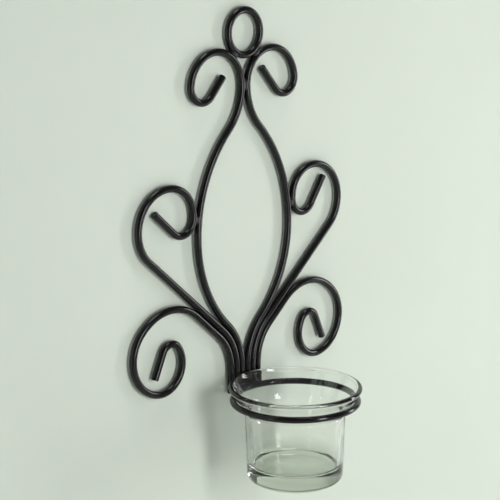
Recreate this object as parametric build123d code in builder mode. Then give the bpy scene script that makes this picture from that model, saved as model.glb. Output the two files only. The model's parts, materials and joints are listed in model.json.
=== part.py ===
from build123d import *

import os
from math import atan2, cos, degrees, radians, sin, sqrt

# Wall sconce: a frame of scrolled round rod, a wire hoop and a loose, flared glass cup.
# Millimetres, +Z up. The frame stands in the XZ plane with the wall behind it, at +Y, and the
# cup in front of it, at -Y. The origin is the centre of the hanging ring, mid-way through the rod.

SIDES = {"left": -1, "right": 1}

# Round rod of the frame
ROD_D = 4.2
ROD_GAP = 0.1  # between neighbouring rods, bridged by the weld beads
END_CHAMFER = 0.3  # on the cut ends of the rods

# Hanging ring, to the middle of its rod
RING_R = 12.3

# Lyre rods: top scroll, neck, almond, bundle. A turn is in degrees, outward first.
TOP_SCROLL_BENDS = [(19.3, 114), (19.4, 58), (8.8, 147)]  # (bend radius, turn)
TOP_TAILS = {"left": 13.5, "right": 17.4}  # cut by eye, so the two sides differ
NECK_BEND_R = 34.0
ALMOND_W = 72.4  # between the middles of the two rods, at the widest level
ALMOND_Z = -111.0  # level of the widest point
BUNDLE_BEND_R = 36.8  # lowest bend of a lyre rod; its neighbours follow it concentrically
BUNDLE_TOP_Z = -190.5  # where the rods start to part
BUNDLE_RUN = 14.5  # straight ends of the rods, side by side, down to their cut ends

# Side scroll rods, from the bundle up, over and down to the curl that rests on the almond
SIDE_CONTACT_ANGLE = 7.6  # height of the contact on the almond's upper bend, in degrees
SIDE_OUTER_R = 21.8
SIDE_OUTER_TURN = 105  # past the vertical
SIDE_CURL_R = 17.1
SIDE_CURL_TURN = 83
SIDE_TAIL_BEND_R = 8.8
SIDE_TAIL_TURNS = {"left": 124, "right": 138}  # bent by eye, so the two sides differ
SIDE_TAIL = 18.8

# Base scroll rods, from the bundle out beside the side rods, over, down and round
BASE_RUNS = {"left": 22.0, "right": 18.4}  # straight run alongside the side rod
BASE_OUTER_R = 30.1
BASE_OUTER_HEADING = 139  # degrees turned from straight up, where the next bend begins
BASE_CURL_BENDS = [(21.7, 120), (15.4, 137), (6.6, 120)]  # (bend radius, turn)
BASE_TAIL = 15.5

# Cup hoop, to the middle of its wire
HOOP_WIRE_D = 3.6
HOOP_R = 35.0
HOOP_ABOVE_END = 2.5  # above the cut ends of the rods

# Glass cup
CUP_BODY_H = 40.2  # from the foot to the start of the flare
CUP_FLARE_H = 12.8
CUP_LIP_H = 1.8
CUP_RIM_OUT = 2.5  # rim, outside the middle of the hoop's wire
CUP_BODY_IN = 6.6  # body at the start of the flare, inside the middle of the hoop's wire
CUP_TAPER = 1.4  # how much the body narrows down to its foot
CUP_LIP_ROUNDING = 0.46  # of the wall
CUP_WALL = 2.8
CUP_FLOOR = 8.6
CUP_BASE_FILLET = 4.0
CUP_FLOOR_FILLET = 3.0
CUP_FLARE_FILLET = 4.0
CUP_SEAT_GAP = 0.15  # between the flare and the hoop
CUP_ROD_GAP = 0.6  # between the rim and the rods behind it

# Weld beads, sized by the rod: (half length, half width)
TACK = (0.72 * ROD_D, 0.55 * ROD_D)
NECK_TACK = (0.86 * ROD_D, 0.57 * ROD_D)
BUNDLE_TACK = (0.62 * ROD_D, 0.45 * ROD_D)
HOOP_TACK_HALF_L = 0.76 * ROD_D
WELD_BITE = 0.9  # how far a hoop bead reaches past the surfaces that it joins

# Worked out from the sizes above
ROD_R = ROD_D / 2
PITCH = ROD_D + ROD_GAP
HOOP_WIRE_R = HOOP_WIRE_D / 2
BUNDLE_END_Z = BUNDLE_TOP_Z - BUNDLE_RUN
HOOP_Z = BUNDLE_END_Z + HOOP_ABOVE_END
BEAD_Z = BUNDLE_END_Z + BUNDLE_TACK[0]  # the bundle's beads are flush with the cut ends
CUP_RIM_R = HOOP_R + CUP_RIM_OUT
CUP_BODY_R = HOOP_R - CUP_BODY_IN
CUP_BASE_R = CUP_BODY_R - CUP_TAPER
CUP_LIP_START = CUP_BODY_H + CUP_FLARE_H
CUP_H = CUP_LIP_START + CUP_LIP_H
CUP_Y = -(ROD_R + CUP_ROD_GAP + CUP_RIM_R)

# The ring and the first bend of each top scroll touch, and that sets the level of the neck
TOP_CENTRE_X = PITCH / 2 + TOP_SCROLL_BENDS[0][0]
TOP_CENTRE_DIST = RING_R + TOP_SCROLL_BENDS[0][0] + PITCH
NECK_Z = -sqrt(TOP_CENTRE_DIST**2 - TOP_CENTRE_X**2)

# Each half of the almond is two pairs of opposite bends between upright tangents
ALMOND_DX = ALMOND_W / 2 - PITCH / 2
UPPER_DZ = NECK_Z - ALMOND_Z
LOWER_DZ = ALMOND_Z - BUNDLE_TOP_Z
UPPER_TURN = degrees(2 * atan2(ALMOND_DX, UPPER_DZ))
LOWER_TURN = degrees(2 * atan2(ALMOND_DX, LOWER_DZ))
UPPER_BULGE_R = (ALMOND_DX**2 + UPPER_DZ**2) / (2 * ALMOND_DX) - NECK_BEND_R
LOWER_BULGE_R = (ALMOND_DX**2 + LOWER_DZ**2) / (2 * ALMOND_DX) - BUNDLE_BEND_R
UPPER_BULGE_X = ALMOND_W / 2 - UPPER_BULGE_R

# All three rods of a side bend round this point where they leave the bundle
FAN_X = PITCH / 2 + BUNDLE_BEND_R


def lyre_bends(side_name):
    """Bends of a lyre rod from the bundle up, each with the straight run after it."""
    bends = [
        (BUNDLE_BEND_R, LOWER_TURN, 0),
        (LOWER_BULGE_R, -LOWER_TURN, 0),
        (UPPER_BULGE_R, -UPPER_TURN, 0),
        (NECK_BEND_R, UPPER_TURN, 0),
    ]
    bends += [(radius, turn, 0) for radius, turn in TOP_SCROLL_BENDS[:-1]]
    return bends + [(*TOP_SCROLL_BENDS[-1], TOP_TAILS[side_name])]


def side_contact(distance):
    """Point on the line through the side curl's contact, from the centre of the almond's upper bend."""
    angle = radians(SIDE_CONTACT_ANGLE)
    return UPPER_BULGE_X + distance * cos(angle), ALMOND_Z + distance * sin(angle)


def side_bends(side_name):
    """Bends of a side scroll rod, placed so that its curl touches the almond."""
    curl_x, curl_z = side_contact(UPPER_BULGE_R + PITCH + SIDE_CURL_R)
    turned = radians(SIDE_OUTER_TURN)
    outer_x = curl_x - (SIDE_OUTER_R - SIDE_CURL_R) * cos(turned)
    outer_z = curl_z - (SIDE_OUTER_R - SIDE_CURL_R) * sin(turned)
    fan_r = BUNDLE_BEND_R - PITCH
    dx = outer_x - FAN_X
    dz = outer_z - BUNDLE_TOP_Z
    run = sqrt(dx**2 + dz**2 - (fan_r + SIDE_OUTER_R) ** 2)
    leave = degrees(atan2(dx, dz) + atan2(fan_r + SIDE_OUTER_R, run))
    return [
        (fan_r, leave, run),
        (SIDE_OUTER_R, -leave - SIDE_OUTER_TURN, 0),
        (SIDE_CURL_R, -SIDE_CURL_TURN, 0),
        (SIDE_TAIL_BEND_R, -SIDE_TAIL_TURNS[side_name], SIDE_TAIL),
    ]


def base_bends(side_name):
    """Bends of a base scroll rod, which leaves the bundle parallel to the side rod."""
    leave = side_bends(side_name)[0][1]
    bends = [(BUNDLE_BEND_R - 2 * PITCH, leave, BASE_RUNS[side_name])]
    bends += [(BASE_OUTER_R, BASE_OUTER_HEADING - leave, 0)]
    bends += [(radius, turn, 0) for radius, turn in BASE_CURL_BENDS[:-1]]
    return bends + [(*BASE_CURL_BENDS[-1], BASE_TAIL)]


def bent_rod(label, side, place, bends):
    """Round rod from the bundle's cut end up; place counts half pitches out from the middle."""
    x = side * place * PITCH / 2
    with BuildPart() as rod:
        with BuildLine(Plane.XZ) as path:
            run = Line((x, BUNDLE_END_Z), (x, BUNDLE_TOP_Z))
            for radius, turn, straight in bends:
                bend = JernArc(run @ 1, run % 1, radius, -side * turn)
                run = bend
                if straight:
                    run = Line(bend @ 1, bend @ 1 + (bend % 1) * straight)
        with BuildSketch(Plane((x, 0, BUNDLE_END_Z))):
            Circle(ROD_R)
        sweep(path=path.line)
        chamfer(rod.faces().filter_by(GeomType.PLANE).edges(), END_CHAMFER)
    rod.part.label = label
    return rod.part


def wire_ring(label, plane, ring_r, wire_r):
    """Closed ring of round wire, lying in a plane."""
    with BuildPart() as ring:
        with BuildSketch(Plane(plane.origin, x_dir=plane.x_dir, z_dir=plane.y_dir)):
            with Locations((ring_r, 0)):
                Circle(wire_r)
        revolve(axis=Axis(plane.origin, plane.z_dir))
    ring.part.label = label
    return ring.part


def seat_height():
    """Height of the hoop's middle above the cup's foot, where the flare rests on the wire."""
    slope = atan2(CUP_RIM_OUT + CUP_BODY_IN, CUP_FLARE_H)
    out = CUP_BODY_IN * cos(slope) - HOOP_WIRE_R - CUP_SEAT_GAP
    return CUP_BODY_H + out / sin(slope)


def glass_cup(label):
    """Flared cup with a thick floor and a rounded lip, turned about its own axis."""
    foot_z = HOOP_Z - seat_height()
    outside = [(0, 0), (CUP_BASE_R, 0), (CUP_BODY_R, CUP_BODY_H), (CUP_RIM_R, CUP_LIP_START)]
    lip = [(CUP_RIM_R, CUP_H), (CUP_RIM_R - CUP_WALL, CUP_H)]
    inside = [
        (CUP_RIM_R - CUP_WALL, CUP_LIP_START),
        (CUP_BODY_R - CUP_WALL, CUP_BODY_H),
        (CUP_BASE_R - CUP_WALL, CUP_FLOOR),
        (0, CUP_FLOOR),
    ]
    lip_r = CUP_WALL * CUP_LIP_ROUNDING
    rounding = [CUP_BASE_FILLET, CUP_FLARE_FILLET, lip_r, lip_r, lip_r, lip_r, CUP_FLARE_FILLET]
    with BuildPart() as cup:
        with BuildSketch(Plane((0, CUP_Y, foot_z), x_dir=(1, 0, 0), z_dir=(0, -1, 0))):
            with BuildLine():
                wall = FilletPolyline(*outside, *lip, *inside, radius=[*rounding, CUP_FLOOR_FILLET])
                Line(wall @ 1, wall @ 0)
            make_face()
        revolve(axis=Axis((0, CUP_Y, foot_z), (0, 0, 1)))
    cup.part.label = label
    return cup.part


def weld_bead(label, plane, half_length, half_width, joined):
    """Round-ended bead along the plane's X, with the pieces that it joins cut out of it."""
    with BuildPart() as bead:
        with BuildSketch(plane):
            SlotOverall(2 * half_length, 2 * half_width)
            Rectangle(2 * half_length, half_width, align=(Align.CENTER, Align.MAX), mode=Mode.SUBTRACT)
        revolve(axis=Axis(plane.origin, plane.x_dir))
        for name in joined:
            add(parts[name], mode=Mode.SUBTRACT)
    bead.part.label = label
    return bead.part


parts = {}


def keep(part):
    """Collect a finished piece under its label."""
    parts[part.label] = part


keep(wire_ring("hanging_ring", Plane.XZ, RING_R, ROD_R))
for side_name, side in SIDES.items():
    keep(bent_rod(f"lyre_rod_{side_name}", side, 1, lyre_bends(side_name)))
    keep(bent_rod(f"side_scroll_rod_{side_name}", side, 3, side_bends(side_name)))
    keep(bent_rod(f"base_scroll_rod_{side_name}", side, 5, base_bends(side_name)))
keep(wire_ring("cup_hoop", Plane((0, CUP_Y, HOOP_Z)), HOOP_R, HOOP_WIRE_R))
keep(glass_cup("glass_cup"))

for side_name, side in SIDES.items():
    lyre = f"lyre_rod_{side_name}"
    side_rod = f"side_scroll_rod_{side_name}"
    base_rod = f"base_scroll_rod_{side_name}"

    slope = atan2(-NECK_Z, TOP_CENTRE_X)
    across = Vector(side * cos(slope), 0, -sin(slope))
    along = Vector(side * sin(slope), 0, cos(slope))
    place = Plane(across * (RING_R + PITCH / 2), x_dir=along, z_dir=across)
    keep(weld_bead(f"ring_weld_{side_name}", place, *TACK, ["hanging_ring", lyre]))

    slope = radians(SIDE_CONTACT_ANGLE)
    x, z = side_contact(UPPER_BULGE_R + PITCH / 2)
    across = Vector(side * cos(slope), 0, sin(slope))
    along = Vector(-side * sin(slope), 0, cos(slope))
    place = Plane((side * x, 0, z), x_dir=along, z_dir=across)
    keep(weld_bead(f"side_weld_{side_name}", place, *TACK, [lyre, side_rod]))

    inner = Plane((side * PITCH, 0, BEAD_Z), x_dir=(0, 0, 1), z_dir=(1, 0, 0))
    keep(weld_bead(f"bundle_weld_inner_{side_name}", inner, *BUNDLE_TACK, [lyre, side_rod]))
    outer = Plane((side * 2 * PITCH, 0, BEAD_Z), x_dir=(0, 0, 1), z_dir=(1, 0, 0))
    keep(weld_bead(f"bundle_weld_outer_{side_name}", outer, *BUNDLE_TACK, [side_rod, base_rod]))

    hoop_back = CUP_Y + sqrt(HOOP_R**2 - PITCH**2) + HOOP_WIRE_R
    hoop_tack = (HOOP_TACK_HALF_L, (-ROD_R - hoop_back) / 2 + WELD_BITE)
    place = Plane((side * PITCH, (hoop_back - ROD_R) / 2, HOOP_Z), x_dir=(1, 0, 0), z_dir=(0, 0, 1))
    joined = ["cup_hoop", lyre, side_rod, f"bundle_weld_inner_{side_name}"]
    keep(weld_bead(f"hoop_weld_{side_name}", place, *hoop_tack, joined))

lyres = ["lyre_rod_left", "lyre_rod_right"]
for label, z, size in (("neck_weld", NECK_Z, NECK_TACK), ("bundle_weld_middle", BEAD_Z, BUNDLE_TACK)):
    keep(weld_bead(label, Plane((0, 0, z), x_dir=(0, 0, 1), z_dir=(1, 0, 0)), *size, lyres))

os.makedirs("parts", exist_ok=True)
for name, part in parts.items():
    export_step(part, f"parts/{name}.step")
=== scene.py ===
import json
from math import cos, radians, sin

import bpy
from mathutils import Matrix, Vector


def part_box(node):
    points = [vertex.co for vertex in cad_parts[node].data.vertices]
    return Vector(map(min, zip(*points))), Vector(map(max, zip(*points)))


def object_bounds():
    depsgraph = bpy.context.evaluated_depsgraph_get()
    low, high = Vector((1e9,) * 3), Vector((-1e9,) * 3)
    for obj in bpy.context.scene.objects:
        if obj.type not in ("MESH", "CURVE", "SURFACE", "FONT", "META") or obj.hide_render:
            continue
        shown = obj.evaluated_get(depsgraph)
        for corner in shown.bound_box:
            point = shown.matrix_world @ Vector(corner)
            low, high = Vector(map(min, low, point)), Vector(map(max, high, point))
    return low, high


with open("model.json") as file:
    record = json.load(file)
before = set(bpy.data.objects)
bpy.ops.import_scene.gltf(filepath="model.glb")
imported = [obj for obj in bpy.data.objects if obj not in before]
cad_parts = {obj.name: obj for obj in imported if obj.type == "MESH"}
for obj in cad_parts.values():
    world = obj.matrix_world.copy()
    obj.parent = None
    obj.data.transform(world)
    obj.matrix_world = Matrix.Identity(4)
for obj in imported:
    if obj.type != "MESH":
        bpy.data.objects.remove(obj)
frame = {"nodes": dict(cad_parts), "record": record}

CAD_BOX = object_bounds()

# Photograph's view: degrees and metres, round the object and in the frame's own axes
VIEW_AZIMUTH = -45.6
VIEW_ELEVATION = 12.6
VIEW_DISTANCE = 0.852
VIEW_TARGET = Vector((-0.0164, -0.0207, -0.1168))
LENS_MM = 111.6
SENSOR_MM = 36.0

# Stage
WALL_Y = 0.0028  # just behind the rods
FLOOR_Z = -0.46
WALL_COLOR = (0.735, 0.800, 0.710)
FLOOR_COLOR = (0.70, 0.71, 0.69)
STAGE_HALF = 8.0
STAGE_SHADE = 0.975  # of the stage's colour, where its mottle is darkest
STAGE_ROUGHNESS = 0.85
STAGE_SPECULAR = 0.2
WORLD_COLOR = (0.98, 1.0, 0.985)
WORLD_STRENGTH = 0.15

# Area lights round the object: name, azimuth and elevation in degrees; distance, width and height
# in metres; watts
LIGHTS = [
    ("key_light", 0, 5, 1.05, 0.22, 0.70, 5.2),
    ("right_strip", 64, -2, 0.9, 0.14, 0.70, 2.8),
    ("left_strip", -88, 0, 1.0, 0.08, 0.80, 0.7),
    ("rear_fill", 190, 10, 1.2, 0.22, 1.10, 4.5),
]

# Even light from above, which keeps the floor pale: degrees, and watts per square metre
OVERHEAD_AZIMUTH = 15
OVERHEAD_ELEVATION = 80
OVERHEAD_STRENGTH = 0.75
OVERHEAD_SPREAD = 24

# Noise patterns: scale per metre, detail, roughness
PAINT_CLOUDS = (55, 5, 0.6)
PAINT_WAVES = (320, 3, 0.5)
PAINT_GRIT = (2200, 4, 0.65)
GLASS_WAVES = (38, 2, 0.5)
GLASS_STREAKS = (160, 2, 0.5)
STAGE_MOTTLE = (9, 4, 0.5)

# Black paint: its two shades, IOR, gloss (roughness from, to) and height of its waves in metres
PAINT_DARK = (0.0018, 0.0017, 0.0018)
PAINT_LIGHT = (0.0050, 0.0048, 0.0048)
PAINT_IOR = 1.42
ROD_GLOSS = (0.13, 0.24)
ROD_WAVE_H = 0.00006
WELD_GLOSS = (0.30, 0.50)
WELD_WAVE_H = 0.0011
FINE_WAVE_SHARE = 0.35  # of the height of the slow waves
GRIT_H = 0.000006

# Clear glass: its tints, IOR, highest roughness and the heights of its waves in metres
# The foot's tint is partly the green of thick glass and partly painted shade, darkened for the dark
# surroundings seen through the thick foot
GLASS_FOOT_TINT_AND_SHADE = (0.58, 0.62, 0.55)
GLASS_TINT = (0.945, 0.955, 0.94)
GLASS_FOOT_H = (0.006, 0.017)  # the thick foot's green and painted shade fade out between these heights
GLASS_IOR = 1.5
GLASS_ROUGHNESS = 0.03
GLASS_WAVE_H = 0.00045
GLASS_STREAK_H = 0.00004


def direction(azimuth, elevation):
    """Unit vector from the object to a place round it; azimuth 0 is straight in front."""
    a = radians(azimuth)
    e = radians(elevation)
    return Vector((sin(a) * cos(e), -cos(a) * cos(e), sin(e)))


def look(obj, place, target):
    """Put an object at a place, with its -Z towards a target and its X level."""
    obj.location = place
    obj.rotation_euler = (target - place).to_track_quat("-Z", "Y").to_euler()


def new_material(name):
    """Node material, with its tree, its Principled shader and its output node."""
    material = bpy.data.materials.new(name)
    material.use_nodes = True
    tree = material.node_tree
    shader = tree.nodes["Principled BSDF"]
    return material, tree, shader, tree.nodes["Material Output"]


def noise(tree, scale, detail, roughness):
    """Noise texture in the object's own metres."""
    place = tree.nodes.new("ShaderNodeTexCoord")
    texture = tree.nodes.new("ShaderNodeTexNoise")
    texture.inputs["Scale"].default_value = scale
    texture.inputs["Detail"].default_value = detail
    texture.inputs["Roughness"].default_value = roughness
    tree.links.new(place.outputs["Object"], texture.inputs["Vector"])
    return texture.outputs["Fac"]


def spread(tree, value, low, high, start=0.3, end=0.7):
    """Map a value between start and end onto the range from low to high."""
    node = tree.nodes.new("ShaderNodeMapRange")
    for name, number in zip(("From Min", "From Max", "To Min", "To Max"), (start, end, low, high)):
        node.inputs[name].default_value = number
    tree.links.new(value, node.inputs["Value"])
    return node.outputs["Result"]


def blend_colors(tree, value, first, second, start=0.3, end=0.7):
    """Colour that goes from the first to the second as a value goes from start to end."""
    ramp = tree.nodes.new("ShaderNodeValToRGB")
    ramp.color_ramp.elements[0].position = start
    ramp.color_ramp.elements[1].position = end
    ramp.color_ramp.elements[0].color = (*first, 1)
    ramp.color_ramp.elements[1].color = (*second, 1)
    tree.links.new(value, ramp.inputs["Fac"])
    return ramp.outputs["Color"]


def bump(tree, shader, layers):
    """Chain of bumps; a layer is a height and how far it stands out, in metres."""
    normal = None
    for height, distance in layers:
        node = tree.nodes.new("ShaderNodeBump")
        node.inputs["Strength"].default_value = 1.0
        node.inputs["Distance"].default_value = distance
        tree.links.new(height, node.inputs["Height"])
        if normal is not None:
            tree.links.new(normal, node.inputs["Normal"])
        normal = node.outputs["Normal"]
    tree.links.new(normal, shader.inputs["Normal"])


def black_paint(name, gloss, wave_h):
    """Black paint: two close shades in clouds, uneven gloss, slow and fine waves and a fine grit."""
    material, tree, shader, _ = new_material(name)
    clouds = noise(tree, *PAINT_CLOUDS)
    waves = noise(tree, *PAINT_WAVES)
    grit = noise(tree, *PAINT_GRIT)
    color = blend_colors(tree, clouds, PAINT_DARK, PAINT_LIGHT, 0.35, 0.75)
    tree.links.new(color, shader.inputs["Base Color"])
    tree.links.new(spread(tree, waves, *gloss), shader.inputs["Roughness"])
    shader.inputs["IOR"].default_value = PAINT_IOR
    bump(tree, shader, [(clouds, wave_h), (waves, wave_h * FINE_WAVE_SHARE), (grit, GRIT_H)])
    return material


def clear_glass(name):
    """Pressed glass with slow waves in its surface, and greener and darker in its thick foot: the
    green is the thick glass's own, the darkening is painted shade.
    """
    material, tree, shader, _ = new_material(name)
    waves = noise(tree, *GLASS_WAVES)
    streaks = noise(tree, *GLASS_STREAKS)
    place = tree.nodes.new("ShaderNodeTexCoord")
    split = tree.nodes.new("ShaderNodeSeparateXYZ")
    tree.links.new(place.outputs["Object"], split.inputs["Vector"])
    foot_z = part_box("glass_cup")[0].z
    heights = [foot_z + h for h in GLASS_FOOT_H]
    level = spread(tree, split.outputs["Z"], 0, 1, *heights)
    # Foot colour: the green of thick glass, plus painted shade for the dark surroundings seen
    # through it
    color = blend_colors(tree, level, GLASS_FOOT_TINT_AND_SHADE, GLASS_TINT, 0, 1)
    tree.links.new(color, shader.inputs["Base Color"])
    tree.links.new(spread(tree, streaks, 0.0, GLASS_ROUGHNESS), shader.inputs["Roughness"])
    shader.inputs["IOR"].default_value = GLASS_IOR
    shader.inputs["Transmission Weight"].default_value = 1.0
    bump(tree, shader, [(waves, GLASS_WAVE_H), (streaks, GLASS_STREAK_H)])
    return material


def stage_surface(name, color, see_through_back):
    """Matt pale paint; the wall is clear from behind, so that the object shows from there."""
    material, tree, shader, output = new_material(name)
    mottle = noise(tree, *STAGE_MOTTLE)
    shade = [c * STAGE_SHADE for c in color]
    tree.links.new(blend_colors(tree, mottle, shade, color), shader.inputs["Base Color"])
    shader.inputs["Roughness"].default_value = STAGE_ROUGHNESS
    shader.inputs["Specular IOR Level"].default_value = STAGE_SPECULAR
    if see_through_back:
        side = tree.nodes.new("ShaderNodeNewGeometry")
        clear = tree.nodes.new("ShaderNodeBsdfTransparent")
        mix = tree.nodes.new("ShaderNodeMixShader")
        tree.links.new(side.outputs["Backfacing"], mix.inputs["Fac"])
        tree.links.new(shader.outputs["BSDF"], mix.inputs[1])
        tree.links.new(clear.outputs["BSDF"], mix.inputs[2])
        tree.links.new(mix.outputs["Shader"], output.inputs["Surface"])
    return material


def stage_plane(name, corners, material):
    """Flat rectangle that belongs to the stage."""
    mesh = bpy.data.meshes.new(name)
    mesh.from_pydata(corners, [], [tuple(range(len(corners)))])
    mesh.materials.append(material)
    obj = bpy.data.objects.new(name, mesh)
    bpy.context.scene.collection.objects.link(obj)


def paint(node, material):
    """Give a CAD node a better material."""
    obj = frame["nodes"][node]
    if not obj.material_slots:
        obj.data.materials.append(material)
    for slot in obj.material_slots:
        slot.material = material


finishes = {
    "black_rod": black_paint("black_paint", ROD_GLOSS, ROD_WAVE_H),
    "black_weld": black_paint("black_paint_on_weld", WELD_GLOSS, WELD_WAVE_H),
    "clear_glass": clear_glass("pressed_glass"),
}
for subpart in frame["record"]["subparts"]:
    paint(subpart["node"], finishes[subpart["material_slot"]])

wall_corners = [
    (-STAGE_HALF, WALL_Y, FLOOR_Z),
    (STAGE_HALF, WALL_Y, FLOOR_Z),
    (STAGE_HALF, WALL_Y, STAGE_HALF),
    (-STAGE_HALF, WALL_Y, STAGE_HALF),
]
stage_plane("wall", wall_corners, stage_surface("stage_wall", WALL_COLOR, True))
floor_corners = [
    (-STAGE_HALF, -STAGE_HALF, FLOOR_Z),
    (STAGE_HALF, -STAGE_HALF, FLOOR_Z),
    (STAGE_HALF, STAGE_HALF, FLOOR_Z),
    (-STAGE_HALF, STAGE_HALF, FLOOR_Z),
]
stage_plane("floor", floor_corners, stage_surface("stage_floor", FLOOR_COLOR, False))

centre = (CAD_BOX[0] + CAD_BOX[1]) / 2
for name, azimuth, elevation, distance, width, height, watts in LIGHTS:
    data = bpy.data.lights.new(name, "AREA")
    data.shape = "RECTANGLE"
    data.size = width
    data.size_y = height
    data.energy = watts
    lamp = bpy.data.objects.new(name, data)
    bpy.context.scene.collection.objects.link(lamp)
    look(lamp, centre + direction(azimuth, elevation) * distance, centre)

overhead_data = bpy.data.lights.new("overhead", "SUN")
overhead_data.energy = OVERHEAD_STRENGTH
overhead_data.angle = radians(OVERHEAD_SPREAD)
overhead = bpy.data.objects.new("overhead", overhead_data)
bpy.context.scene.collection.objects.link(overhead)
look(overhead, centre + direction(OVERHEAD_AZIMUTH, OVERHEAD_ELEVATION), centre)

world = bpy.data.worlds.new("studio")
world.use_nodes = True
background = world.node_tree.nodes["Background"]
background.inputs["Color"].default_value = (*WORLD_COLOR, 1)
background.inputs["Strength"].default_value = WORLD_STRENGTH
scene = bpy.context.scene
scene.world = world
scene.view_settings.view_transform = "Standard"

camera_data = bpy.data.cameras.new("camera")
camera_data.lens = LENS_MM
camera_data.sensor_width = SENSOR_MM
camera = bpy.data.objects.new("camera", camera_data)
scene.collection.objects.link(camera)
look(camera, VIEW_TARGET + direction(VIEW_AZIMUTH, VIEW_ELEVATION) * VIEW_DISTANCE, VIEW_TARGET)
scene.camera = camera
